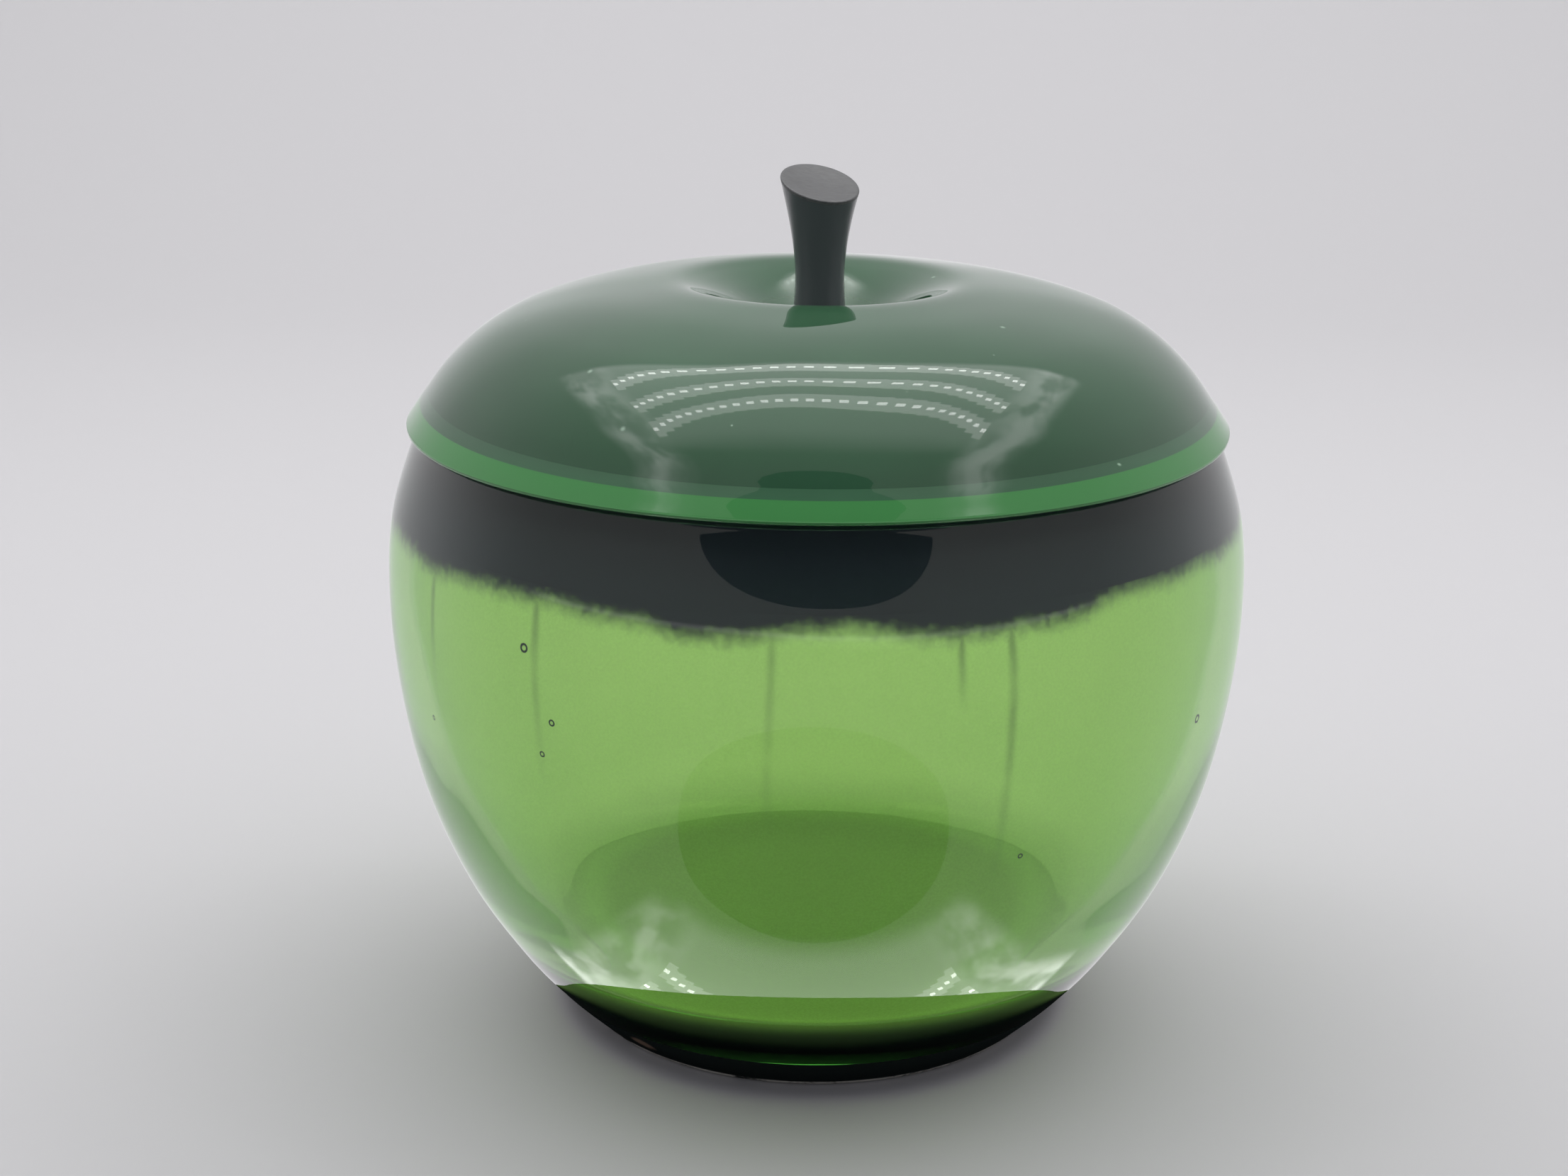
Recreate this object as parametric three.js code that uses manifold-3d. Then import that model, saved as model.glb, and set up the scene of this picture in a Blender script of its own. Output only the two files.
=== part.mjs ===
import * as THREE from "three";
import { mergeVertices } from "three/addons/utils/BufferGeometryUtils.js";
import Module from "manifold-3d";

// Lidded glass powder jar. Millimetres, +Z up, the resting face on z = 0, the axis on x = y = 0.

// Driving dimensions
const BOWL_RADIUS = 58.5; // widest radius of the bowl
const BOWL_HEIGHT = 83.0; // from the table to the shoulder the lid sits on
const FOOT_HEIGHT = 5.6; // black glass pad under the clear body
const BASE_GLASS = 3.4; // thickness of the clear glass between the pad and the hollow
const WALL_FOOT = 6.2; // wall where it leaves the base
const WALL_RIM = 3.4; // wall at the mouth
const FOOT_RECESS = 0.9; // depth of the ground hollow under the foot
const COLLAR_HEIGHT = 2.0; // upstanding ring that keeps the lid central
const COLLAR_THICK = 2.8;
const LID_OVERHANG = 1.3; // how far the lid's rim stands out past the shoulder
const LID_HEIGHT = 19.0; // from the rim's underside to the crest round the dimple
const LID_WALL = 3.4;
const DIMPLE_DEPTH = 5.9; // below the crest
const STEM_RADIUS = 3.3; // at the waist
const STEM_TOP_RADIUS = 5.4;
const STEM_HEIGHT = 18.5; // from the dimple to the middle of the ground top
const CUT_FRONT = 17.5; // the ground top slopes down to the front, in degrees
const CUT_RIGHT = 9.8; // and down to the right
const CUT_HOLLOW = 0.35; // how far the ground top is dished
const COAT = 0.7; // thickness given to a coat of enamel
const GAP = 0.3; // between neighbouring pieces

// Derived dimensions
const SEGMENTS = 64;
const STEPS = 20; // along each wall
const SHOULDER_SHARE = 0.925; // shoulder radius as a share of the widest
const LID_RADIUS = SHOULDER_SHARE * BOWL_RADIUS + LID_OVERHANG;
const RIM_Z = BOWL_HEIGHT + GAP;
const CREST_Z = RIM_Z + LID_HEIGHT;
const DIMPLE_Z = CREST_Z - DIMPLE_DEPTH;
const FLOOR_Z = FOOT_HEIGHT + GAP + BASE_GLASS;
const COLLAR_RADIUS = LID_RADIUS - LID_WALL - 0.2 - GAP;
const COLLAR_BORE = COLLAR_RADIUS - COLLAR_THICK;

// Smooth curve through points given as shares of a radius and a height
function shareCurve(shares, radius, height, base) {
  return new THREE.SplineCurve(
    shares.map(([r, z]) => new THREE.Vector2(r * radius, base + z * height)),
  );
}

// Point of a curve moved sideways: positive depth goes left of its direction
function offsetPoint(curve, t, depth) {
  const along = curve.getTangent(t);
  const at = curve.getPoint(t);
  return new THREE.Vector2(Math.max(at.x - along.y * depth, 0), at.y + along.x * depth);
}

// The same stations serve a wall and the coat on it, so the gap between them stays even
function stations(from, to) {
  const between = [];
  for (let i = 1; i < STEPS; i++) {
    const t = i / STEPS;
    if (t > from + 0.01 && t < to - 0.01) {
      between.push(t);
    }
  }
  return [from, ...between, to];
}

function offsetPoints(curve, from, to, depth) {
  return stations(from, to).map((t) => offsetPoint(curve, t, depth));
}

// Where the offset curve first rises above a height
function heightReached(curve, height, depth = 0) {
  let t = 0;
  while (offsetPoint(curve, t, depth).y < height) {
    t += 0.001;
  }
  return t;
}

function lathe(points, segments = SEGMENTS) {
  return new THREE.LatheGeometry(points, segments).rotateX(Math.PI / 2);
}

// Skin between two depths of a curve; a skin that starts on the axis is a closed dish
function skin(curve, from, to, near) {
  const outside = offsetPoints(curve, from, to, near);
  const inside = offsetPoints(curve, from, to, near + COAT).reverse();
  if (from === 0) {
    return lathe([...outside, ...inside]);
  }
  return lathe([...outside, ...inside, outside[0].clone()]);
}

// Bowl: outline from the foot to the shoulder
const bowlOutline = shareCurve(
  [
    [0.576, 0.008],
    [0.666, 0.072],
    [0.749, 0.145],
    [0.853, 0.265],
    [0.934, 0.41],
    [0.981, 0.566],
    [1.0, 0.723],
    [0.986, 0.867],
    [SHOULDER_SHARE, 1.0],
  ],
  BOWL_RADIUS,
  BOWL_HEIGHT,
  0,
);
const wallAt = (t) => WALL_FOOT + (WALL_RIM - WALL_FOOT) * Math.min(1, 1.6 * t);

// Hollow: flat floor, then the wall up to the collar's bore
const hollowWall = [0.22, 0.32, 0.44, 0.56, 0.69, 0.81, 0.93].map((t) =>
  offsetPoint(bowlOutline, t, wallAt(t)),
);
const bowlHollow = new THREE.SplineCurve([
  new THREE.Vector2(0, FLOOR_Z),
  new THREE.Vector2(0.33 * hollowWall[0].x, FLOOR_Z),
  new THREE.Vector2(0.7 * hollowWall[0].x, FLOOR_Z + 0.3),
  ...hollowWall,
  new THREE.Vector2(COLLAR_BORE, BOWL_HEIGHT - 0.5),
]);

const footTop = heightReached(bowlOutline, FOOT_HEIGHT);
const bodyBottom = heightReached(bowlOutline, FOOT_HEIGHT + GAP);
const bowlGeometry = lathe([
  new THREE.Vector2(0, bowlOutline.getPoint(bodyBottom).y),
  ...offsetPoints(bowlOutline, bodyBottom, 1, 0),
  new THREE.Vector2(COLLAR_RADIUS, BOWL_HEIGHT),
  new THREE.Vector2(COLLAR_RADIUS, BOWL_HEIGHT + COLLAR_HEIGHT - 0.4),
  new THREE.Vector2(COLLAR_RADIUS - 0.4, BOWL_HEIGHT + COLLAR_HEIGHT),
  new THREE.Vector2(COLLAR_BORE + 0.4, BOWL_HEIGHT + COLLAR_HEIGHT),
  new THREE.Vector2(COLLAR_BORE, BOWL_HEIGHT + COLLAR_HEIGHT - 0.4),
  ...offsetPoints(bowlHollow, 0, 1, 0).reverse(),
]);

// Coats inside the bowl, meeting end to end with a gap between
const bandStart = 0.845;
const bandGap = 0.002;
const greenCoatGeometry = skin(bowlHollow, 0, bandStart, GAP);
const bandCoatGeometry = skin(bowlHollow, bandStart + bandGap, 0.965, GAP);

// Foot: pad with a ground hollow underneath
const footEdge = bowlOutline.getPoint(0);
const footSide = bowlOutline.getPoint(0.5 * footTop);
const footRim = bowlOutline.getPoint(footTop);
const footGeometry = lathe([
  new THREE.Vector2(0, FOOT_RECESS),
  new THREE.Vector2(0.62 * footEdge.x, FOOT_RECESS),
  new THREE.Vector2(0.7 * footEdge.x, 0),
  new THREE.Vector2(footEdge.x - 1.0, 0),
  footEdge,
  footSide,
  footRim,
  new THREE.Vector2(0, footRim.y),
]);

// Lid: dome from the rim to the crest, then down into the dimple
const lidDome = shareCurve(
  [
    [1.0, 0.03],
    [0.978, 0.12],
    [0.908, 0.4],
    [0.799, 0.678],
    [0.667, 0.847],
    [0.511, 0.955],
    [0.361, 1.0],
  ],
  LID_RADIUS,
  LID_HEIGHT,
  RIM_Z,
);
const crestRadius = 0.361 * LID_RADIUS;
const lidDimple = new THREE.SplineCurve([
  new THREE.Vector2(crestRadius, CREST_Z),
  new THREE.Vector2(0.8 * crestRadius, CREST_Z - 0.14 * DIMPLE_DEPTH),
  new THREE.Vector2(0.58 * crestRadius, CREST_Z - 0.45 * DIMPLE_DEPTH),
  new THREE.Vector2(0.37 * crestRadius, CREST_Z - 0.8 * DIMPLE_DEPTH),
  new THREE.Vector2(0.2 * crestRadius, DIMPLE_Z),
  new THREE.Vector2(0, DIMPLE_Z),
]);
const lidOutline = new THREE.SplineCurve([
  ...lidDome.getPoints(9),
  ...lidDimple.getPoints(6).slice(1),
]);
const seatRadius = COLLAR_RADIUS + GAP;
const seatTop = BOWL_HEIGHT + COLLAR_HEIGHT + GAP;
const underStart = heightReached(lidOutline, seatTop + 0.2, LID_WALL);
const lidUnder = offsetPoints(lidOutline, underStart, 1, LID_WALL);
const lidGeometry = lathe([
  ...lidUnder.slice().reverse(),
  new THREE.Vector2(seatRadius, seatTop),
  new THREE.Vector2(seatRadius, RIM_Z),
  new THREE.Vector2(LID_RADIUS - 0.5, RIM_Z),
  ...lidOutline.getPoints(22),
]);
const coatStart = heightReached(lidOutline, seatTop + 0.2, LID_WALL + GAP + COAT);
const lidCoatGeometry = skin(lidOutline, coatStart, 1, LID_WALL + GAP);

// Stem: waisted rod, flared at the top, cut by the grinding wheel
const wasm = await Module();
wasm.setup();

function toSolid(geometry) {
  const bare = new THREE.BufferGeometry();
  bare.setAttribute("position", geometry.toNonIndexed().getAttribute("position"));
  const merged = mergeVertices(bare, 1e-4);
  return new wasm.Manifold(
    new wasm.Mesh({
      numProp: 3,
      vertProperties: new Float32Array(merged.attributes.position.array),
      triVerts: new Uint32Array(merged.index.array),
    }),
  );
}

function toGeometry(solid) {
  const mesh = solid.getMesh();
  const geometry = new THREE.BufferGeometry();
  geometry.setAttribute("position", new THREE.BufferAttribute(mesh.vertProperties, 3));
  geometry.setIndex(new THREE.BufferAttribute(mesh.triVerts, 1));
  return geometry;
}

const STEM_BASE_Z = DIMPLE_Z + GAP;
const STEM_TOP_Z = STEM_BASE_Z + STEM_HEIGHT;
const stemOutline = new THREE.SplineCurve([
  new THREE.Vector2(1.13 * STEM_RADIUS, STEM_BASE_Z),
  new THREE.Vector2(1.03 * STEM_RADIUS, STEM_BASE_Z + 0.16 * STEM_HEIGHT),
  new THREE.Vector2(STEM_RADIUS, STEM_BASE_Z + 0.36 * STEM_HEIGHT),
  new THREE.Vector2(1.1 * STEM_RADIUS, STEM_BASE_Z + 0.56 * STEM_HEIGHT),
  new THREE.Vector2(0.8 * STEM_TOP_RADIUS, STEM_BASE_Z + 0.77 * STEM_HEIGHT),
  new THREE.Vector2(STEM_TOP_RADIUS, STEM_BASE_Z + STEM_HEIGHT),
  new THREE.Vector2(1.05 * STEM_TOP_RADIUS, STEM_BASE_Z + 1.25 * STEM_HEIGHT),
]);
const stemRod = lathe(
  [
    new THREE.Vector2(0, STEM_BASE_Z),
    ...stemOutline.getPoints(18),
    new THREE.Vector2(0, STEM_BASE_Z + 1.25 * STEM_HEIGHT),
  ],
  48,
);
const wheelRadius = STEM_TOP_RADIUS ** 2 / (2 * CUT_HOLLOW);
const slopeFront = Math.tan(THREE.MathUtils.degToRad(CUT_FRONT));
const slopeRight = Math.tan(THREE.MathUtils.degToRad(CUT_RIGHT));
const cutNormal = new THREE.Vector3(slopeRight, -slopeFront, 1).normalize();
const wheel = new THREE.SphereGeometry(wheelRadius, 64, 64);
wheel.rotateX(0.4);
const wheelCentre = cutNormal.clone().multiplyScalar(wheelRadius - CUT_HOLLOW);
wheel.translate(wheelCentre.x, wheelCentre.y, STEM_TOP_Z + wheelCentre.z);
const stemGeometry = toGeometry(toSolid(stemRod).subtract(toSolid(wheel)));

const jar = new THREE.Group();
jar.name = "powder_jar";

function addPiece(name, geometry, color, roughness, more = {}) {
  const material = new THREE.MeshStandardMaterial({ color, roughness, metalness: 0, ...more });
  material.name = name;
  const mesh = new THREE.Mesh(geometry, material);
  mesh.name = name;
  jar.add(mesh);
}

addPiece("bowl_glass", bowlGeometry, 0xc9dcc4, 0.05, { transparent: true, opacity: 0.35 });
addPiece("bowl_green_coat", greenCoatGeometry, 0x90b967, 0.3);
addPiece("bowl_black_band", bandCoatGeometry, 0x1d2125, 0.3);
addPiece("foot", footGeometry, 0x191d1e, 0.12);
addPiece("lid_glass", lidGeometry, 0x2a4633, 0.06);
addPiece("lid_coat", lidCoatGeometry, 0x1c2a20, 0.4);
addPiece("stem", stemGeometry, 0x1b1d1f, 0.12);

export default jar;
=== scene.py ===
import bpy
import bmesh
import math
from mathutils import Matrix, Vector


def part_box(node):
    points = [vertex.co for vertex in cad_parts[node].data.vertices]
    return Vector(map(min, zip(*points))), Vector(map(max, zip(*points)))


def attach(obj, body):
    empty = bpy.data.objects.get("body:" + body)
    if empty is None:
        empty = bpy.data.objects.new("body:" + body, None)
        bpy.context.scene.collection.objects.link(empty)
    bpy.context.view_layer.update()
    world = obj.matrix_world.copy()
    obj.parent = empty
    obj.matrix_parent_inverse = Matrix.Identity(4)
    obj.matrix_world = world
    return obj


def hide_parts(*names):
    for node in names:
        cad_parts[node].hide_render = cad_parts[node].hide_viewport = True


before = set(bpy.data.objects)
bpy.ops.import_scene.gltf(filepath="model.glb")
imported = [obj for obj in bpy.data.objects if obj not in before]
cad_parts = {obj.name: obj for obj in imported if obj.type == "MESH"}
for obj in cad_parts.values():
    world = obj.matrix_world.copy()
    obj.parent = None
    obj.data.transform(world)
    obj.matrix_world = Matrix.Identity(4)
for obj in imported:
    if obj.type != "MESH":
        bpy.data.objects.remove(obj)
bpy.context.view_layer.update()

mm = 0.001
bowlLow, bowlHigh = (Vector(p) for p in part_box("bowl_glass"))
lidLow, lidHigh = (Vector(p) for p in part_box("lid_glass"))
stemLow = Vector(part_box("stem")[0])
footLow, footHigh = (Vector(p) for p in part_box("foot"))
print("frame loaded:", sorted(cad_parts))


# outlines, drawn as (radius, height) in metres

def splinePoint(points, t):
    # even Catmull-Rom through the points, t from 0 to 1
    place = t * (len(points) - 1)
    i = min(int(place), len(points) - 2)
    w = place - i
    a = points[max(i - 1, 0)]
    b, c = points[i], points[i + 1]
    d = points[min(i + 2, len(points) - 1)]
    out = []
    for k in range(2):
        v0, v1 = (c[k] - a[k]) / 2, (d[k] - b[k]) / 2
        out.append((2 * b[k] - 2 * c[k] + v0 + v1) * w ** 3
                   + (-3 * b[k] + 3 * c[k] - 2 * v0 - v1) * w * w + v0 * w + b[k])
    return Vector(out)


def sidePoint(points, t, depth):
    # a point moved square to the curve, to the left of its direction
    step = 0.0005
    along = (splinePoint(points, min(t + step, 1)) - splinePoint(points, max(t - step, 0))).normalized()
    at = splinePoint(points, t)
    return Vector((max(at.x - along.y * depth, 0), at.y + along.x * depth))


def run(points, start, end, count, depth=0.0):
    return [sidePoint(points, start + (end - start) * i / count, depth) for i in range(count + 1)]


def reach(points, height, depth=0.0):
    # where the moved curve first gets to a height
    t = 0.0
    while sidePoint(points, t, depth).y < height:
        t += 0.0005
    return t


def roundCorner(before, corner, after, radius, count=4):
    a = corner + (before - corner).normalized() * radius
    b = corner + (after - corner).normalized() * radius
    return [a.lerp(corner, i / count).lerp(corner.lerp(b, i / count), i / count) for i in range(count + 1)]


def spunMesh(outline, steps=160, closed=False):
    # spins an outline round the Z axis and closes it
    bm = bmesh.new()
    verts = [bm.verts.new((p[0], 0, p[1])) for p in outline]
    edges = [bm.edges.new(pair) for pair in zip(verts, verts[1:])]
    if closed:
        edges.append(bm.edges.new((verts[-1], verts[0])))
    bmesh.ops.spin(bm, geom=verts + edges, cent=(0, 0, 0), axis=(0, 0, 1), dvec=(0, 0, 0),
                   angle=2 * math.pi, steps=steps, use_merge=True, use_duplicate=False)
    bmesh.ops.remove_doubles(bm, verts=bm.verts, dist=2e-6)
    bmesh.ops.dissolve_degenerate(bm, dist=1e-7, edges=bm.edges)
    bmesh.ops.recalc_face_normals(bm, faces=bm.faces)
    return bm


def finishPiece(bm, name, body, nodes, material, sharp=40):
    mesh = bpy.data.meshes.new(name)
    bm.to_mesh(mesh)
    bm.free()
    for face in mesh.polygons:
        face.use_smooth = True
    mesh.set_sharp_from_angle(angle=math.radians(sharp))
    piece = bpy.data.objects.new(name, mesh)
    bpy.context.scene.collection.objects.link(piece)
    mesh.materials.append(material)
    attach(piece, body)
    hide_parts(*nodes)
    print("piece:", name, len(mesh.polygons), "faces")
    return piece


# shader helpers

def newGroup(name, inputs, outputs):
    group = bpy.data.node_groups.new(name, "ShaderNodeTree")
    for label, kind, value in inputs:
        socket = group.interface.new_socket(label, in_out="INPUT", socket_type=kind)
        if value is not None:
            socket.default_value = value
    for label, kind in outputs:
        group.interface.new_socket(label, in_out="OUTPUT", socket_type=kind)
    return group, group.nodes.new("NodeGroupInput"), group.nodes.new("NodeGroupOutput")


def math2(tree, operation, a, b=None, clamp=False):
    node = tree.nodes.new("ShaderNodeMath")
    node.operation = operation
    node.use_clamp = clamp
    for socket, value in zip(node.inputs, (a, b)):
        if value is None:
            continue
        if isinstance(value, (int, float)):
            socket.default_value = value
        else:
            tree.links.new(value, socket)
    return node.outputs[0]


def vec2(tree, operation, a, b=None):
    node = tree.nodes.new("ShaderNodeVectorMath")
    node.operation = operation
    for socket, value in zip(node.inputs, (a, b)):
        if value is None:
            continue
        if isinstance(value, (tuple, Vector)):
            socket.default_value = value
        else:
            tree.links.new(value, socket)
    return node


def fromAxis(tree, coords):
    flat = vec2(tree, "MULTIPLY", coords, (1, 1, 0)).outputs[0]
    return vec2(tree, "LENGTH", flat).outputs["Value"]


def ramp(tree, value, low, high, toLow=0.0, toHigh=1.0, smooth=True):
    node = tree.nodes.new("ShaderNodeMapRange")
    node.interpolation_type = "SMOOTHSTEP" if smooth else "LINEAR"
    for label, part in (("Value", value), ("From Min", low), ("From Max", high),
                        ("To Min", toLow), ("To Max", toHigh)):
        if isinstance(part, (int, float)):
            node.inputs[label].default_value = part
        else:
            tree.links.new(part, node.inputs[label])
    return node.outputs["Result"]


def noise(tree, vector, scale, detail=2.0, rough=0.5):
    node = tree.nodes.new("ShaderNodeTexNoise")
    node.inputs["Detail"].default_value = detail
    node.inputs["Roughness"].default_value = rough
    if isinstance(scale, (int, float)):
        node.inputs["Scale"].default_value = scale
    else:
        tree.links.new(scale, node.inputs["Scale"])
    tree.links.new(vector, node.inputs["Vector"])
    return node.outputs["Fac"]


def blendColour(tree, factor, a, b):
    node = tree.nodes.new("ShaderNodeMix")
    node.data_type = "RGBA"
    for socket, value in ((node.inputs[0], factor), (node.inputs[6], a), (node.inputs[7], b)):
        if isinstance(value, (int, float)):
            socket.default_value = value
        elif isinstance(value, tuple):
            socket.default_value = (*value, 1)
        else:
            tree.links.new(value, socket)
    return node.outputs[2]


def useGroup(tree, group, vector, **values):
    node = tree.nodes.new("ShaderNodeGroup")
    node.node_tree = group
    tree.links.new(vector, node.inputs["Vector"])
    for label, value in values.items():
        node.inputs[label.replace("_", " ")].default_value = value
    return node


def newMaterial(name, **settings):
    material = bpy.data.materials.new(name)
    material.use_nodes = True
    tree = material.node_tree
    shader = tree.nodes["Principled BSDF"]
    for label, value in settings.items():
        socket = shader.inputs[label.replace("_", " ")]
        socket.default_value = (*value, 1) if isinstance(value, tuple) and len(value) == 3 else value
    coords = tree.nodes.new("ShaderNodeTexCoord").outputs["Object"]
    return material, tree, shader, coords


def addBump(tree, shader, height, strength, distance):
    bump = tree.nodes.new("ShaderNodeBump")
    bump.inputs["Strength"].default_value = strength
    bump.inputs["Distance"].default_value = distance
    tree.links.new(height, bump.inputs["Height"])
    tree.links.new(bump.outputs["Normal"], shader.inputs["Normal"])


# shared effects

def makeDustGroup():
    # rare pale specks: one in a few cells of a fine Voronoi pattern
    group, into, out = newGroup("dustSpecks", [("Vector", "NodeSocketVector", None),
                                               ("Scale", "NodeSocketFloat", 160.0),
                                               ("Size", "NodeSocketFloat", 0.04),
                                               ("Share", "NodeSocketFloat", 0.1)],
                                [("Mask", "NodeSocketFloat")])
    cells = group.nodes.new("ShaderNodeTexVoronoi")
    group.links.new(into.outputs["Vector"], cells.inputs["Vector"])
    group.links.new(into.outputs["Scale"], cells.inputs["Scale"])
    split = group.nodes.new("ShaderNodeSeparateColor")
    group.links.new(cells.outputs["Color"], split.inputs["Color"])
    kept = math2(group, "LESS_THAN", split.outputs["Red"], into.outputs["Share"])
    size = math2(group, "MULTIPLY", into.outputs["Size"], math2(group, "ADD", split.outputs["Green"], 0.3))
    speck = ramp(group, cells.outputs["Distance"], size, 0.0)
    group.links.new(math2(group, "MULTIPLY", kept, speck), out.inputs["Mask"])
    return group


def makeWaveGroup():
    # slow waviness of hand-worked glass
    group, into, out = newGroup("glassWaves", [("Vector", "NodeSocketVector", None),
                                               ("Scale", "NodeSocketFloat", 28.0)],
                                [("Height", "NodeSocketFloat")])
    slow = noise(group, into.outputs["Vector"], into.outputs["Scale"], 1.0, 0.4)
    group.links.new(slow, out.inputs["Height"])
    return group


def makeHazeGroup():
    # faint wiped-on haze that dulls the gloss in patches
    group, into, out = newGroup("glassHaze", [("Vector", "NodeSocketVector", None),
                                              ("Least", "NodeSocketFloat", 0.005),
                                              ("Most", "NodeSocketFloat", 0.025)],
                                [("Roughness", "NodeSocketFloat")])
    patches = noise(group, into.outputs["Vector"], 60.0, 4.0)
    rough = ramp(group, patches, 0.45, 0.75, into.outputs["Least"], into.outputs["Most"])
    group.links.new(rough, out.inputs["Roughness"])
    return group


def makeCloudGroup():
    # enamel sprayed a little thicker here and there
    group, into, out = newGroup("enamelCloud", [("Vector", "NodeSocketVector", None),
                                                ("Scale", "NodeSocketFloat", 35.0)],
                                [("Mask", "NodeSocketFloat")])
    patches = noise(group, into.outputs["Vector"], into.outputs["Scale"], 3.0)
    group.links.new(ramp(group, patches, 0.3, 0.7), out.inputs["Mask"])
    return group


def makeBandEdgeGroup():
    # black above a wavy height, with a sprayed, grainy edge
    group, into, out = newGroup("bandEdge", [("Vector", "NodeSocketVector", None),
                                             ("Height", "NodeSocketFloat", 0.0705),
                                             ("Wave", "NodeSocketFloat", 0.0022),
                                             ("Softness", "NodeSocketFloat", 0.0017)],
                                [("Mask", "NodeSocketFloat")])
    split = group.nodes.new("ShaderNodeSeparateXYZ")
    group.links.new(into.outputs["Vector"], split.inputs[0])
    level = vec2(group, "MULTIPLY", into.outputs["Vector"], (1, 1, 0)).outputs[0]
    flat = vec2(group, "NORMALIZE", level).outputs[0]
    broad = math2(group, "SUBTRACT", noise(group, flat, 1.7, 1.0), 0.5)
    fine = math2(group, "SUBTRACT", noise(group, flat, 8.0, 3.0), 0.5)
    grain = math2(group, "SUBTRACT", noise(group, into.outputs["Vector"], 900.0, 2.0), 0.5)
    shift = math2(group, "ADD", math2(group, "MULTIPLY", broad, 3.2), math2(group, "MULTIPLY", fine, 1.0))
    edge = math2(group, "ADD", into.outputs["Height"], math2(group, "MULTIPLY", shift, into.outputs["Wave"]))
    rise = math2(group, "SUBTRACT", split.outputs["Z"], edge)
    rise = math2(group, "ADD", rise, math2(group, "MULTIPLY", grain, into.outputs["Softness"]))
    lower = math2(group, "MULTIPLY", into.outputs["Softness"], -1.0)
    mask = ramp(group, rise, lower, into.outputs["Softness"])
    group.links.new(mask, out.inputs["Mask"])
    return group


def makeRunGroup():
    # one thin run of enamel down the wall at an angle round the jar
    group, into, out = newGroup("enamelRun", [("Vector", "NodeSocketVector", None),
                                              ("Facing", "NodeSocketVector", (0, -1, 0)),
                                              ("Across", "NodeSocketVector", (1, 0, 0)),
                                              ("Width", "NodeSocketFloat", 0.0006),
                                              ("Bottom", "NodeSocketFloat", 0.055),
                                              ("Top", "NodeSocketFloat", 0.075),
                                              ("Strength", "NodeSocketFloat", 0.5)],
                                [("Mask", "NodeSocketFloat")])
    split = group.nodes.new("ShaderNodeSeparateXYZ")
    group.links.new(into.outputs["Vector"], split.inputs[0])
    place = into.outputs["Vector"]
    wander = math2(group, "SUBTRACT", noise(group, place, 70.0), 0.5)
    wander = math2(group, "MULTIPLY", wander, 1.6 * mm)
    sideways = vec2(group, "DOT_PRODUCT", place, into.outputs["Across"]).outputs["Value"]
    side = math2(group, "ADD", sideways, wander)
    outward = vec2(group, "DOT_PRODUCT", place, into.outputs["Facing"]).outputs["Value"]
    near = math2(group, "GREATER_THAN", outward, 0.0)
    line = ramp(group, math2(group, "ABSOLUTE", side), into.outputs["Width"], 0.0)
    fade = ramp(group, split.outputs["Z"], into.outputs["Bottom"], into.outputs["Top"], smooth=False)
    breaks = ramp(group, noise(group, place, 160.0), 0.3, 0.6, 0.55, 1.0)
    there = math2(group, "MULTIPLY", near, breaks)
    mask = math2(group, "MULTIPLY", math2(group, "MULTIPLY", line, fade), there)
    mask = math2(group, "MULTIPLY", mask, into.outputs["Strength"], clamp=True)
    group.links.new(mask, out.inputs["Mask"])
    return group


def makeSeedShadeGroup():
    # painted shade: a seed in the glass drawn as a dark ring with a clear middle, for the way the bubble
    # bends light
    group, into, out = newGroup("seedShadeRing", [("Vector", "NodeSocketVector", None),
                                              ("Place", "NodeSocketVector", (0, 0, 0)),
                                              ("Radius", "NodeSocketFloat", 0.0005)],
                                [("Mask", "NodeSocketFloat")])
    away = vec2(group, "DISTANCE", into.outputs["Vector"], into.outputs["Place"]).outputs["Value"]
    share = math2(group, "DIVIDE", away, into.outputs["Radius"])
    outer = ramp(group, share, 1.15, 0.9)
    inner = ramp(group, share, 0.4, 0.7)
    group.links.new(math2(group, "MULTIPLY", outer, inner), out.inputs["Mask"])
    return group


dustSpecks = makeDustGroup()
glassWaves = makeWaveGroup()
glassHaze = makeHazeGroup()
enamelCloud = makeCloudGroup()
bandEdge = makeBandEdgeGroup()
enamelRun = makeRunGroup()
seedShadeRing = makeSeedShadeGroup()
print("shader groups ready")


# bowl

bowlSet = {
    "radius": bowlHigh.x - 0.02 * mm,
    "collar": 2.0 * mm,
    "collarThick": 2.8 * mm,
    "lidWall": 3.4 * mm,
    "gap": 0.3 * mm,
    "clearance": 0.2 * mm,
    "wallFoot": 6.2 * mm,
    "wallRim": 3.4 * mm,
    "baseGlass": 3.4 * mm,
    "shape": [(0.576, 0.008), (0.666, 0.072), (0.749, 0.145), (0.853, 0.265), (0.934, 0.41),
              (0.981, 0.566), (1.0, 0.723), (0.986, 0.867), (0.925, 1.0)],
    "waveScale": 22.0,
    "waveDepth": 1.1 * mm,
    # green painted into the glass towards its outline, by viewing angle
    "paintedEdgeGreen": (0.40, 0.76, 0.32),
    "tint": (0.67, 0.96, 0.60),
    "tintDensity": 70.0,
}
shoulder = bowlHigh.z - bowlSet["collar"]
bowlLine = [(r * bowlSet["radius"], z * shoulder) for r, z in bowlSet["shape"]]
collarOut = lidHigh.x - bowlSet["lidWall"] - bowlSet["clearance"] - bowlSet["gap"]
collarIn = collarOut - bowlSet["collarThick"]
floorZ = bowlLow.z + bowlSet["baseGlass"]


def wallAt(t):
    return bowlSet["wallFoot"] + (bowlSet["wallRim"] - bowlSet["wallFoot"]) * min(1, 1.6 * t)


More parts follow.
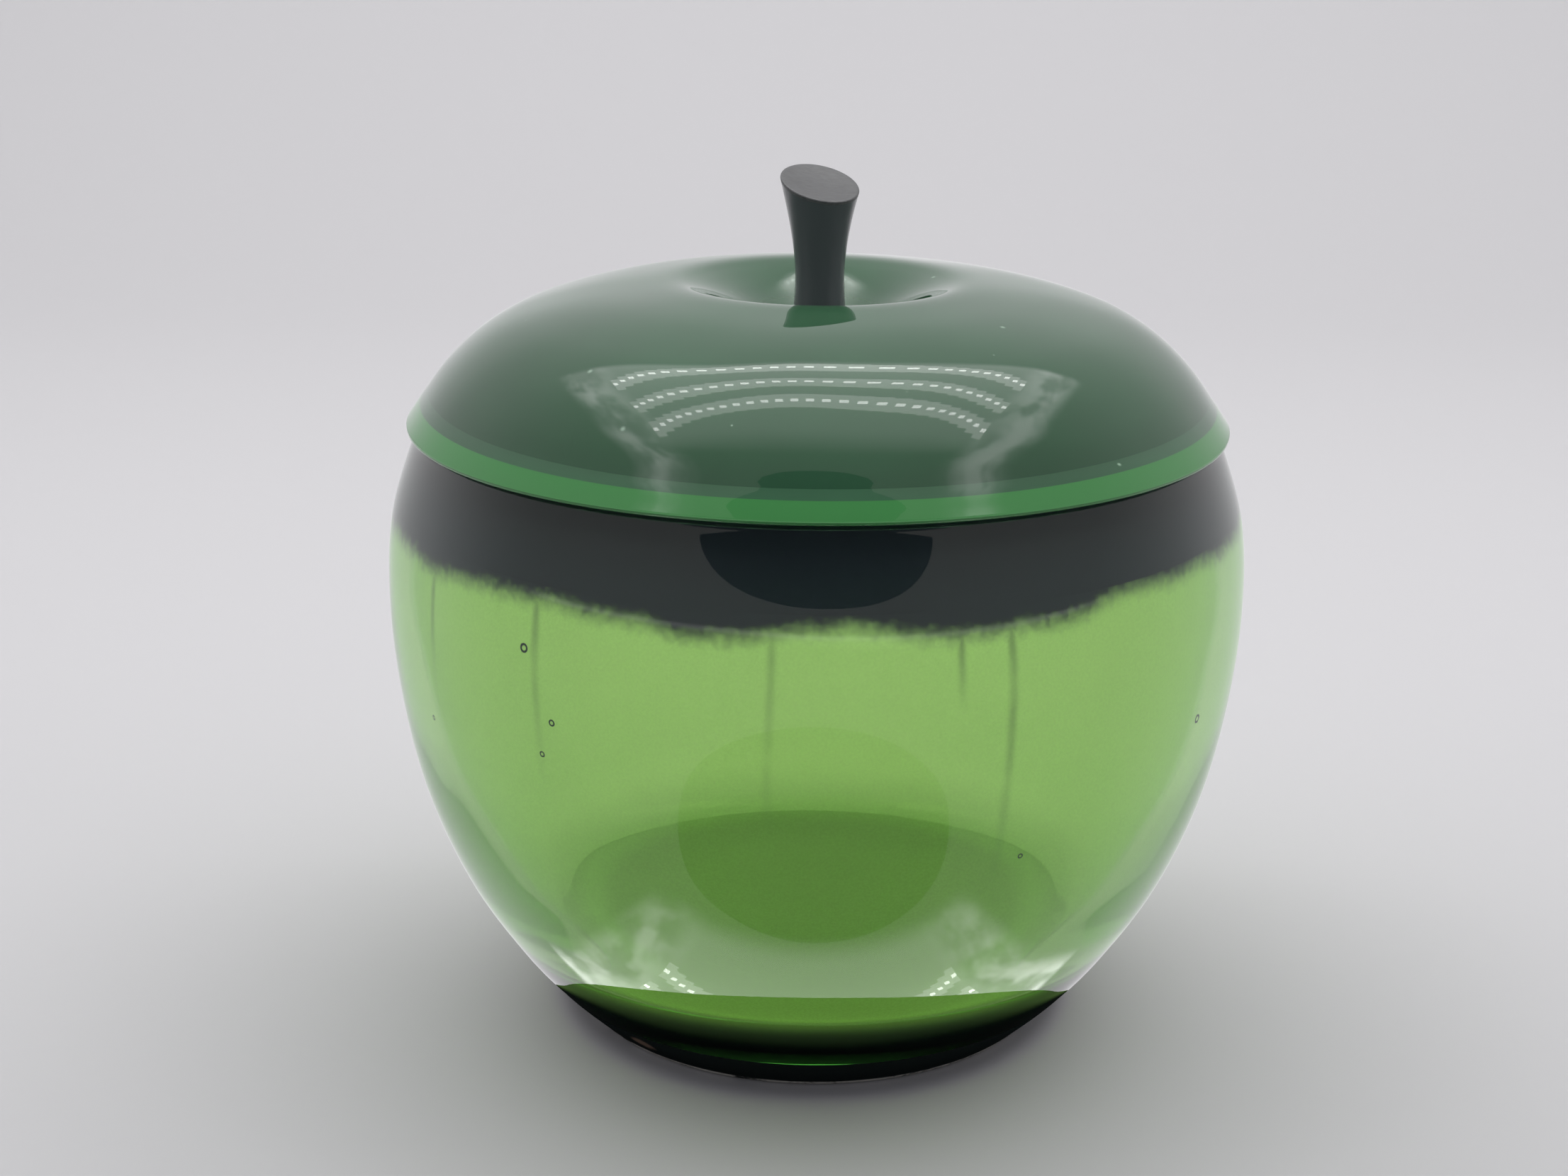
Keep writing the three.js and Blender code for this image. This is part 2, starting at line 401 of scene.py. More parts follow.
hollowWall = [sidePoint(bowlLine, t, wallAt(t)) for t in (0.22, 0.32, 0.44, 0.56, 0.69, 0.81, 0.93)]
hollowLine = [Vector((0, floorZ)), Vector((0.33 * hollowWall[0].x, floorZ)),
              Vector((0.7 * hollowWall[0].x, floorZ + 0.3 * mm)), *hollowWall,
              Vector((collarIn, shoulder - 0.5 * mm))]


def makeBowlGlass():
    outside = run(bowlLine, reach(bowlLine, bowlLow.z), 0.985, 90)
    shoulderEdge = Vector((bowlLine[-1][0] + 0.1 * mm, shoulder))
    collarFoot = Vector((collarOut, shoulder))
    collarTop = Vector((collarOut, bowlHigh.z))
    boreTop = Vector((collarIn, bowlHigh.z))
    inside = run(hollowLine, 0, 1, 90)[::-1]
    outline = [Vector((0, bowlLow.z)), *outside,
               *roundCorner(outside[-1], shoulderEdge, collarFoot, 0.7 * mm),
               collarFoot,
               *roundCorner(collarFoot, collarTop, boreTop, 0.5 * mm),
               *roundCorner(collarTop, boreTop, inside[0], 0.5 * mm),
               *inside]
    material, tree, shader, coords = newMaterial("clearGlass", Base_Color=(1.0, 1.0, 1.0), Roughness=0.0,
                                                 IOR=1.5, Transmission_Weight=1.0)
    waves = useGroup(tree, glassWaves, coords, Scale=bowlSet["waveScale"]).outputs["Height"]
    addBump(tree, shader, waves, 1.0, bowlSet["waveDepth"])
    # painted: the glass is tinted green by viewing angle towards its outline, standing in for the green the
    # thick edges take from the layer inside
    paintedEdgeMask = ramp(tree, tree.nodes.new("ShaderNodeLayerWeight").outputs["Facing"], 0.55, 0.95)
    edge = blendColour(tree, paintedEdgeMask, (1.0, 1.0, 1.0), bowlSet["paintedEdgeGreen"])
    tree.links.new(edge, shader.inputs["Base Color"])
    tint = tree.nodes.new("ShaderNodeVolumeAbsorption")
    tint.inputs["Color"].default_value = (*bowlSet["tint"], 1)
    tint.inputs["Density"].default_value = bowlSet["tintDensity"]
    tree.links.new(tint.outputs[0], tree.nodes["Material Output"].inputs["Volume"])
    haze = useGroup(tree, glassHaze, coords).outputs["Roughness"]
    tree.links.new(haze, shader.inputs["Roughness"])
    piece = finishPiece(spunMesh(outline, 160), "bowlGlass", "bowl", ["bowl_glass"], material)
    piece.visible_shadow = False
    piece.visible_diffuse = False


# runs: angle round the jar in degrees from the front, width, lowest point, strength
# seeds, each painted as a dark shade ring: angle, height, radius; widths, heights and radii in millimetres
greenSet = {
    "thick": 0.7 * mm,
    "bite": 0.1 * mm,
    "top": 0.86,
    "colour": (0.50, 0.85, 0.26),
    "deep": (0.24, 0.56, 0.13),
    "glow": (0.60, 0.88, 0.25),
    "clear": (0.86, 1.0, 0.62),
    "opacity": 0.42,
    "glowShare": 0.35,
    "runs": [(-58, 0.9, 50, 0.5), (-36.6, 1.0, 45, 0.5), (-5.5, 0.9, 44, 0.4), (18, 0.8, 60, 0.8),
             (24.3, 1.0, 36, 0.6), (95, 0.9, 50, 0.5), (140, 0.9, 46, 0.5), (200, 0.9, 52, 0.5),
             (245, 0.9, 44, 0.5)],
    "runTop": 74 * mm,
    "seeds": [(-38.5, 64.6, 0.6), (-34.3, 56, 0.45), (-36.3, 51.5, 0.4), (60, 51, 0.6), (28, 40, 0.35),
              (-60, 50, 0.35), (120, 55, 0.5), (170, 44, 0.4), (215, 60, 0.45), (-120, 40, 0.4)],
    "pooled": 0.45,  # how much denser the enamel is where it has pooled
}
bandSet = {"colour": (0.052, 0.064, 0.100)}


def facing(degrees):
    # outward and sideways directions at an angle round the jar
    a = math.radians(degrees)
    return Vector((math.sin(a), -math.cos(a), 0)), Vector((math.cos(a), math.sin(a), 0))


def coatRadius(height):
    # radius of the hollow at a height
    t = 0.3
    while splinePoint(hollowLine, t).y < height and t < 1:
        t += 0.002
    return splinePoint(hollowLine, t).x


def makeGreenEnamel():
    material, tree, shader, coords = newMaterial("greenEnamel", Roughness=0.42, Specular_IOR_Level=0.2)
    black = useGroup(tree, bandEdge, coords).outputs["Mask"]
    for angle, width, bottom, strength in greenSet["runs"]:
        forward, across = facing(angle)
        one = useGroup(tree, enamelRun, coords, Facing=forward, Across=across, Width=width * mm,
                       Bottom=bottom * mm, Top=greenSet["runTop"], Strength=strength).outputs["Mask"]
        black = math2(tree, "MAXIMUM", black, one)
    # painted shade: each seed ring is laid into the black ink mask
    for angle, height, radius in greenSet["seeds"]:
        forward, across = facing(angle)
        place = forward * coatRadius(height * mm) + Vector((0, 0, height * mm))
        one = useGroup(tree, seedShadeRing, coords, Place=place, Radius=radius * mm).outputs["Mask"]
        black = math2(tree, "MAXIMUM", black, one)
    mottle = useGroup(tree, enamelCloud, coords, Scale=32.0).outputs["Mask"]
    grain = ramp(tree, noise(tree, coords, 3400.0, 2.0, 0.7), 0.3, 0.7)
    green = blendColour(tree, mottle, greenSet["colour"], tuple(0.86 * c for c in greenSet["colour"]))
    green = blendColour(tree, math2(tree, "MULTIPLY", grain, 0.14), green, greenSet["deep"])
    tree.links.new(green, shader.inputs["Base Color"])
    split = tree.nodes.new("ShaderNodeSeparateXYZ")
    tree.links.new(coords, split.inputs[0])
    geometry = tree.nodes.new("ShaderNodeNewGeometry")
    facingDown = tree.nodes.new("ShaderNodeSeparateXYZ")
    tree.links.new(geometry.outputs["Normal"], facingDown.inputs[0])
    # painted shade: the underside gets no light where it lies on the black pad, so it is painted with the
    # black ink
    under = math2(tree, "MULTIPLY", ramp(tree, facingDown.outputs["Z"], -0.55, -0.92),
                  ramp(tree, split.outputs["Z"], 20 * mm, 12 * mm))
    dark = math2(tree, "MAXIMUM", black, under)
    # light that comes through the enamel: part of it scattered, part of it straight
    glow = tree.nodes.new("ShaderNodeBsdfTranslucent")
    glow.inputs["Color"].default_value = (*greenSet["glow"], 1)
    clear = tree.nodes.new("ShaderNodeBsdfTransparent")
    clear.inputs["Color"].default_value = (*greenSet["clear"], 1)
    skip = tree.nodes.new("ShaderNodeBsdfTransparent")
    # black enamel ink, also used as painted shade on the underside and for the seed rings
    inkAndShade = tree.nodes.new("ShaderNodeBsdfPrincipled")
    inkAndShade.inputs["Base Color"].default_value = (*bandSet["colour"], 1)
    inkAndShade.inputs["Roughness"].default_value = 0.4
    inkAndShade.inputs["Specular IOR Level"].default_value = 0.2
    # the enamel lies thicker where the floor turns up into the wall
    pooled = math2(tree, "MULTIPLY", ramp(tree, fromAxis(tree, coords), 29 * mm, 34 * mm),
                   ramp(tree, split.outputs["Z"], 13.6 * mm, 10.8 * mm))
    uneven = math2(tree, "MULTIPLY", math2(tree, "SUBTRACT", grain, 0.5), 0.06)
    cover = math2(tree, "ADD", greenSet["opacity"], uneven)
    cover = math2(tree, "ADD", cover, math2(tree, "MULTIPLY", pooled, greenSet["pooled"]), clamp=True)
    last = shader.outputs[0]
    # a back face is skipped, so that each crossing of the coat counts once
    for factor, first, second in ((greenSet["glowShare"], None, glow), (cover, clear, None),
                                  (dark, None, inkAndShade), (geometry.outputs["Backfacing"], None, skip)):
        mix = tree.nodes.new("ShaderNodeMixShader")
        if isinstance(factor, float):
            mix.inputs[0].default_value = factor
        else:
            tree.links.new(factor, mix.inputs[0])
        tree.links.new(first.outputs[0] if first else last, mix.inputs[1])
        tree.links.new(second.outputs[0] if second else last, mix.inputs[2])
        last = mix.outputs[0]
    tree.links.new(last, tree.nodes["Material Output"].inputs["Surface"])
    return material


def makeCoat(line, start, end, bite, thick, count):
    # closed skin that bites a little into the glass it lies on
    out = run(line, start, end, count, -bite)
    back = run(line, start, end, count, thick - bite)[::-1]
    return spunMesh(out + back, 160, closed=start > 0)


makeBowlGlass()
greenCoat = makeCoat(hollowLine, 0, greenSet["top"], greenSet["bite"], greenSet["thick"], 80)
finishPiece(greenCoat, "greenCoat", "bowl", ["bowl_green_coat"], makeGreenEnamel())


def makeBlackEnamel():
    material, tree, shader, coords = newMaterial("blackEnamel", Roughness=0.4, Specular_IOR_Level=0.2)
    cloud = useGroup(tree, enamelCloud, coords, Scale=45.0).outputs["Mask"]
    colour = blendColour(tree, cloud, bandSet["colour"], tuple(0.85 * c for c in bandSet["colour"]))
    tree.links.new(colour, shader.inputs["Base Color"])
    return material


blackBand = makeCoat(hollowLine, greenSet["top"] - 0.001, 0.985,
                     1.3 * greenSet["bite"], 1.05 * greenSet["thick"], 20)
finishPiece(blackBand, "blackBand", "bowl", ["bowl_black_band"], makeBlackEnamel())


# foot

footSet = {
    "recess": 0.9 * mm,
    "rise": 0.45 * mm,  # fused into the clear glass above
    "lap": 0.03 * mm,  # how far it laps over the edge of the clear glass
    "black": (0.009, 0.012, 0.012),
    # rubbed edge colour, pale also as a painted highlight along the edge
    "wornEdgeGlint": (0.50, 0.48, 0.45),
    "chip": (0.11, 0.075, 0.06),
    "chipPlace": (-23.0 * mm, -29.2 * mm, 3.2 * mm),
}


def makeFoot():
    edge = splinePoint(bowlLine, 0)
    topZ = footHigh.z + footSet["rise"]
    side = run(bowlLine, 0, reach(bowlLine, topZ), 18, -footSet["lap"])
    outline = [Vector((0, footSet["recess"])), Vector((0.6 * edge.x, footSet["recess"])),
               Vector((0.64 * edge.x, 0.8 * footSet["recess"])), Vector((0.69 * edge.x, 0.05 * mm)),
               Vector((0.71 * edge.x, 0)), Vector((edge.x - 1.2 * mm, 0)),
               Vector((edge.x - 0.7 * mm, 0.08 * mm)), Vector((edge.x - 0.25 * mm, 0.3 * mm)),
               *side, Vector((0, side[-1].y))]
    material, tree, shader, coords = newMaterial("blackFootGlass", Roughness=0.3, Specular_IOR_Level=0.0)
    split = tree.nodes.new("ShaderNodeSeparateXYZ")
    tree.links.new(coords, split.inputs[0])
    # worn contact edge where the black is rubbed thin, painted pale also as a painted highlight along the
    # rounded edge
    ring = math2(tree, "MULTIPLY", ramp(tree, split.outputs["Z"], 0.05 * mm, 0.3 * mm),
                 ramp(tree, split.outputs["Z"], 1.0 * mm, 0.6 * mm))
    wornEdgeGlint = math2(tree, "MULTIPLY", ring, ramp(tree, noise(tree, coords, 260.0, 4.0, 0.7), 0.3, 0.55))
    chipAway = vec2(tree, "DISTANCE", coords, footSet["chipPlace"]).outputs["Value"]
    ragged = math2(tree, "MULTIPLY", noise(tree, coords, 500.0), 1.2 * mm)
    chip = ramp(tree, math2(tree, "ADD", chipAway, ragged), 3.0 * mm, 1.8 * mm)
    colour = blendColour(tree, math2(tree, "MULTIPLY", wornEdgeGlint, 0.8), footSet["black"], footSet["wornEdgeGlint"])
    colour = blendColour(tree, chip, colour, footSet["chip"])
    tree.links.new(colour, shader.inputs["Base Color"])
    rough = math2(tree, "MAXIMUM", ramp(tree, wornEdgeGlint, 0.0, 1.0, 0.1, 0.6),
                  ramp(tree, chip, 0.0, 1.0, 0.0, 0.7))
    tree.links.new(rough, shader.inputs["Roughness"])
    finishPiece(spunMesh(outline, 160), "footPad", "bowl", ["foot"], material)


makeFoot()


# lid

lidSet = {
    "wall": 3.4 * mm,
    "coat": 0.7 * mm,
    "bite": 0.1 * mm,
    "dimple": 5.9 * mm,
    "crest": 0.361,
    "dome": [(1.0, 0.03), (0.978, 0.12), (0.908, 0.4), (0.799, 0.678), (0.667, 0.847), (0.511, 0.955),
             (0.361, 1.0)],
    "hollow": [(1.0, 0.0), (0.8, 0.14), (0.58, 0.45), (0.37, 0.8), (0.2, 1.0), (0.0, 1.0)],
    "tint": (0.30, 0.62, 0.36),
    "dark": (0.042, 0.105, 0.062),
    # painted light: rim ring colour, for light shining through the uncoated rim glass
    "rimLitGreen": (0.046, 0.205, 0.053),
    "dust": (0.6, 0.62, 0.6),
    "waveScale": 26.0,
    "waveDepth": 1.6 * mm,
}
lidRadius, rimZ, crestZ = lidHigh.x, lidLow.z, lidHigh.z
lidDome = [Vector((r * lidRadius, rimZ + z * (crestZ - rimZ))) for r, z in lidSet["dome"]]
crestR = lidSet["crest"] * lidRadius
lidDimple = [Vector((r * crestR, crestZ - z * lidSet["dimple"])) for r, z in lidSet["hollow"]]
lidLine = run(lidDome, 0, 1, 9) + run(lidDimple, 0, 1, 6)[1:]
seatR = collarOut + bowlSet["gap"]
seatTop = bowlHigh.z + bowlSet["gap"]


def makeLidGlass():
    outside = run(lidLine, 0.012, 1, 110)
    rimEdge = Vector((lidRadius, rimZ))
    rimIn = Vector((seatR, rimZ))
    under = run(lidLine, reach(lidLine, seatTop + 0.2 * mm, lidSet["wall"]), 1, 80, lidSet["wall"])[::-1]
    seat = Vector((seatR, seatTop))
    outline = [*under, seat, *roundCorner(seat, rimIn, rimEdge, 0.2 * mm),
               *roundCorner(rimIn, rimEdge, outside[0], 0.55 * mm, 6), *outside]
    material, tree, shader, coords = newMaterial("greenLidGlass", Base_Color=lidSet["tint"], Roughness=0.0,
                                                 IOR=1.5, Transmission_Weight=1.0)
    waves = useGroup(tree, glassWaves, coords, Scale=lidSet["waveScale"]).outputs["Height"]
    addBump(tree, shader, waves, 1.0, lidSet["waveDepth"])
    haze = useGroup(tree, glassHaze, coords).outputs["Roughness"]
    # the dimple is duller than the dome
    dull = ramp(tree, fromAxis(tree, coords), 15 * mm, 8 * mm, 0.0, 0.28)
    haze = math2(tree, "ADD", haze, dull)
    tree.links.new(haze, shader.inputs["Roughness"])
    piece = finishPiece(spunMesh(outline, 160), "lidGlass", "lid", ["lid_glass"], material)
    piece.visible_shadow = False
    piece.visible_diffuse = False


def makeLidCoat():
    start = reach(lidLine, seatTop + 0.2 * mm, lidSet["wall"])
    bite, thick = lidSet["bite"], lidSet["coat"]
    upper = run(lidLine, start, 1, 80, lidSet["wall"] - bite)[::-1]
    lower = run(lidLine, start + 0.02, 1, 80, lidSet["wall"] - bite + thick)
    outer, inner, tip = seatR + 0.15 * mm, seatR - 0.1 * mm, lidRadius - 0.5 * mm
    rim = [Vector((outer, seatTop)), Vector((tip, rimZ + 0.4 * mm)), Vector((tip, rimZ + 0.22 * mm)),
           Vector((inner, rimZ + 0.22 * mm)), Vector((inner, seatTop))]
    material, tree, shader, coords = newMaterial("lidEnamel", Roughness=0.4, Specular_IOR_Level=0.2)
    split = tree.nodes.new("ShaderNodeSeparateXYZ")
    tree.links.new(coords, split.inputs[0])
    # painted light: the coat's rim ring under the seat is painted bright green, standing in for light from
    # inside the jar shining through the uncoated rim glass
    litRimMask = ramp(tree, split.outputs["Z"], seatTop - 0.02 * mm, seatTop - 0.1 * mm)
    cloud = useGroup(tree, enamelCloud, coords, Scale=30.0).outputs["Mask"]
    dark = blendColour(tree, cloud, lidSet["dark"], tuple(0.8 * c for c in lidSet["dark"]))
    specks = useGroup(tree, dustSpecks, coords, Scale=200.0, Size=0.08, Share=0.6).outputs["Mask"]
    colour = blendColour(tree, litRimMask, dark, lidSet["rimLitGreen"])
    colour = blendColour(tree, math2(tree, "MULTIPLY", specks, 0.7), colour, lidSet["dust"])
    tree.links.new(colour, shader.inputs["Base Color"])
    finishPiece(spunMesh(upper + rim + lower, 160), "lidCoat", "lid", ["lid_coat"], material)


makeLidGlass()
makeLidCoat()


# stem

stemSet = {
    "waist": 3.3 * mm,
    "top": 5.3 * mm,
    "height": 18.5 * mm,
    "front": 17.5,  # slope of the ground top, in degrees
    "right": 9.8,
    "dish": 0.45 * mm,
    "edge": 0.3 * mm,
    "lean": (-0.135 * mm, 0.255 * mm),
    "shape": [(1.13, 0.0), (1.03, 0.16), (1.0, 0.36), (1.1, 0.56), (1.309, 0.77), (1.606, 1.0)],
    "colour": (0.075, 0.081, 0.088),
    "satin": [(0.05, 0.051, 0.052), (0.08, 0.081, 0.083)],
}


def makeStem():
    base, top = stemLow.z, stemLow.z + stemSet["height"]
    line = [Vector((r * stemSet["waist"], base + z * stemSet["height"])) for r, z in stemSet["shape"]]
    side = run(line, 0, 1, 60)
    # the foot of the stem is fused into the dimple with a small fillet
    fillet = [Vector((0, base - 0.6 * mm)), Vector((side[0].x + 0.8 * mm, base - 0.6 * mm)),
              Vector((side[0].x + 0.35 * mm, base - 0.1 * mm)),
              Vector((side[0].x + 0.08 * mm, base + 0.4 * mm))]
    ground = stemSet["top"] - stemSet["edge"]
    dish = [Vector((ground * (1 - i / 16), top - stemSet["dish"] * (1 - (1 - i / 16) ** 2)))
            for i in range(17)]
    lip = roundCorner(side[-2], side[-1], dish[0], stemSet["edge"], 5)[1:-1]
    bm = spunMesh(fillet + side[2:-1] + lip + dish, 96)
    # the upper rings lean over step by step until the ground face has its slope
    slopeX = math.tan(math.radians(stemSet["right"]))
    slopeY = math.tan(math.radians(stemSet["front"]))
    rings = {}
    for vert in bm.verts:
        rings.setdefault(round(vert.co.z, 7), []).append(vert)
    for height, ring in rings.items():
        share = min(max((height - base) / stemSet["height"], 0), 1) ** 3
        shear = Matrix(((1, 0, 0, stemSet["lean"][0] * share), (0, 1, 0, stemSet["lean"][1] * share),
                        (-slopeX * share, slopeY * share, 1, 0), (0, 0, 0, 1)))
        bmesh.ops.transform(bm, matrix=shear, verts=ring)
    slope = Vector((slopeX, -slopeY, 1)).normalized()
    middle = Vector((0, 0, top))
    material, tree, shader, coords = newMaterial("blackStemGlass", Roughness=0.2, IOR=1.5)
    offset = vec2(tree, "SUBTRACT", coords, tuple(middle - slope * 0.5 * mm)).outputs[0]
    height = vec2(tree, "DOT_PRODUCT", offset, tuple(slope)).outputs["Value"]
    flat = ramp(tree, height, -0.1 * mm, 0.0)
    scratch = noise(tree, vec2(tree, "MULTIPLY", coords, (1.0, 5.0, 1.0)).outputs[0], 900.0, 3.0, 0.7)
    satin = blendColour(tree, ramp(tree, scratch, 0.3, 0.7), *stemSet["satin"])
    colour = blendColour(tree, flat, stemSet["colour"], satin)
    tree.links.new(colour, shader.inputs["Base Color"])
    tree.links.new(ramp(tree, flat, 0.0, 1.0, 0.2, 0.42), shader.inputs["Roughness"])
    finishPiece(bm, "stemGlass", "lid", ["stem"], material, 30)


makeStem()


# floor, lights, camera

studioSet = {
    "floor": (0.52, 0.514, 0.526),
    "world": (0.60, 0.595, 0.61),
    "front": 0.95,
    "back": 1.35,
    "boxGlow": 1.1,
    "sideGlow": 2.2,
    "rowGlow": 3.6,
    "ledGlow": 10.0,
    "wallWash": 6.6,
    "backGlow": 1.5,
    "rows": (0.04, 0.18, 0.35),  # how far behind the jar each row of lamps hangs
    "height": 0.62,
    "card": (0.10, 0.115, 0.16),
    "cardSize": (0.44, 0.30),
    "cardPlace": (-0.573, 0.48),
}


def stageMesh(name, bm, material, location=(0, 0, 0), target=None):
    mesh = bpy.data.meshes.new(name)
    bm.to_mesh(mesh)
    bm.free()
    thing = bpy.data.objects.new(name, mesh)
    bpy.context.scene.collection.objects.link(thing)
    mesh.materials.append(material)
    thing.location = location
    if target:
        thing.rotation_euler = (Vector(target) - thing.location).to_track_quat("Z", "Y").to_euler()
    return thing


def makeSweep():
    # pale table that curves up into a wall
    bm = bmesh.new()
    bend = 0.4
    line = [(-3.0, 0.0), (0.5, 0.0)]
    for degrees in range(6, 91, 6):
        a = math.radians(degrees)
        line.append((0.5 + bend * math.sin(a), bend - bend * math.cos(a)))
    line.append((0.5 + bend, 2.4))
    verts = [bm.verts.new((-3.0, y, z)) for y, z in line]
    edges = [bm.edges.new(pair) for pair in zip(verts, verts[1:])]
    made = bmesh.ops.extrude_edge_only(bm, edges=edges)["geom"]
    bmesh.ops.translate(bm, vec=(6.0, 0, 0), verts=[v for v in made if isinstance(v, bmesh.types.BMVert)])
    for face in bm.faces:
        face.smooth = True
    material = newMaterial("paleSweep", Base_Color=studioSet["floor"], Roughness=0.7)[0]
    sweep = stageMesh("paleSweep", bm, material, (0, 0, footLow.z - 0.02 * mm))
    # mirrors see past it, to the tent doubled below
    sweep.visible_glossy = False


def glowMaterial(name, strength, lit=True):
    material = bpy.data.materials.new(name)
    material.use_nodes = True
    tree = material.node_tree
    tree.nodes.remove(tree.nodes["Principled BSDF"])
    glow = tree.nodes.new("ShaderNodeEmission")
    glow.inputs["Strength"].default_value = strength
    tree.links.new(glow.outputs[0], tree.nodes["Material Output"].inputs["Surface"])
    if not lit:
        material.cycles.emission_sampling = "NONE"
    return material, tree, glow


def ceilingMaterial(name, lit, near, boost):
    # soft-edged cloth: even in the middle, brighter and creased at both sides
    material, tree, glow = glowMaterial(name, 1.0, lit)
    coords = tree.nodes.new("ShaderNodeTexCoord").outputs["Object"]
    split = tree.nodes.new("ShaderNodeSeparateXYZ")
    tree.links.new(coords, split.inputs[0])
    across, depth = math2(tree, "ABSOLUTE", split.outputs["X"]), split.outputs["Y"]
    middle = math2(tree, "MULTIPLY", ramp(tree, across, 0.37, 0.30), ramp(tree, depth, near - 0.14, near))
    sides = math2(tree, "MULTIPLY", ramp(tree, across, 0.28, 0.38), ramp(tree, across, 0.50, 0.40))
    sides = math2(tree, "MULTIPLY", sides, ramp(tree, depth, -0.42, -0.25))
    long = vec2(tree, "MULTIPLY", coords, (1.0, 0.5, 1.0)).outputs[0]
    crease = ramp(tree, noise(tree, long, 14.0, 2.0), 0.35, 0.65, 0.35, 1.2)
    folds = math2(tree, "MULTIPLY", math2(tree, "MULTIPLY", sides, crease), studioSet["sideGlow"])
    power = math2(tree, "ADD", math2(tree, "MULTIPLY", middle, studioSet["boxGlow"] * boost), folds)
    power = math2(tree, "MULTIPLY", power, ramp(tree, depth, 0.43, 0.38))
    tree.links.new(power, glow.inputs["Strength"])
    clear, both = tree.nodes.new("ShaderNodeBsdfTransparent"), tree.nodes.new("ShaderNodeAddShader")
    tree.links.new(glow.outputs[0], both.inputs[0])
    tree.links.new(clear.outputs[0], both.inputs[1])
    tree.links.new(both.outputs[0], tree.nodes["Material Output"].inputs["Surface"])
    return material


def panelMesh(width, depth, centre):
    bm = bmesh.new()
    bmesh.ops.create_grid(bm, x_segments=1, y_segments=1, size=0.5)
    bmesh.ops.scale(bm, vec=(width, depth, 1), verts=bm.verts)
    bmesh.ops.translate(bm, vec=centre, verts=bm.verts)
    return bm


def ledMesh(height, width, depth):
    # three bowed rows of lamps
    bm = bmesh.new()
    for y in studioSet["rows"]:
        for i in range(-13, 14):
            made = bmesh.ops.create_grid(bm, x_segments=1, y_segments=1, size=0.5)["verts"]
            bmesh.ops.scale(bm, vec=(width, depth, 1), verts=made)
            bmesh.ops.translate(bm, vec=(i * 0.023, y - 1.3 * (i * 0.023) ** 2, height), verts=made)
    return bm


def makePaintedJarImage():
    # painted reflection: a glowing copy of the jar below the floor, black at the foot and green higher up,
    # stands for the jar's own image in a glossy table and blocks what the jar would block from below
    bm = spunMesh([(0, 0)] + [(r, -z) for r, z in run(bowlLine, 0, 0.9, 40)], 96)
    material, tree, glow = glowMaterial("mirrorJarGlow", 1.0, False)
    split = tree.nodes.new("ShaderNodeSeparateXYZ")
    tree.links.new(tree.nodes.new("ShaderNodeTexCoord").outputs["Object"], split.inputs[0])
    green = ramp(tree, split.outputs["Z"], -6 * mm, -12 * mm)
    tree.links.new(blendColour(tree, green, (0.005, 0.006, 0.006), (0.10, 0.18, 0.05)), glow.inputs["Color"])
    return stageMesh("jarBelow", bm, material, (0, 0, -0.1 * mm))


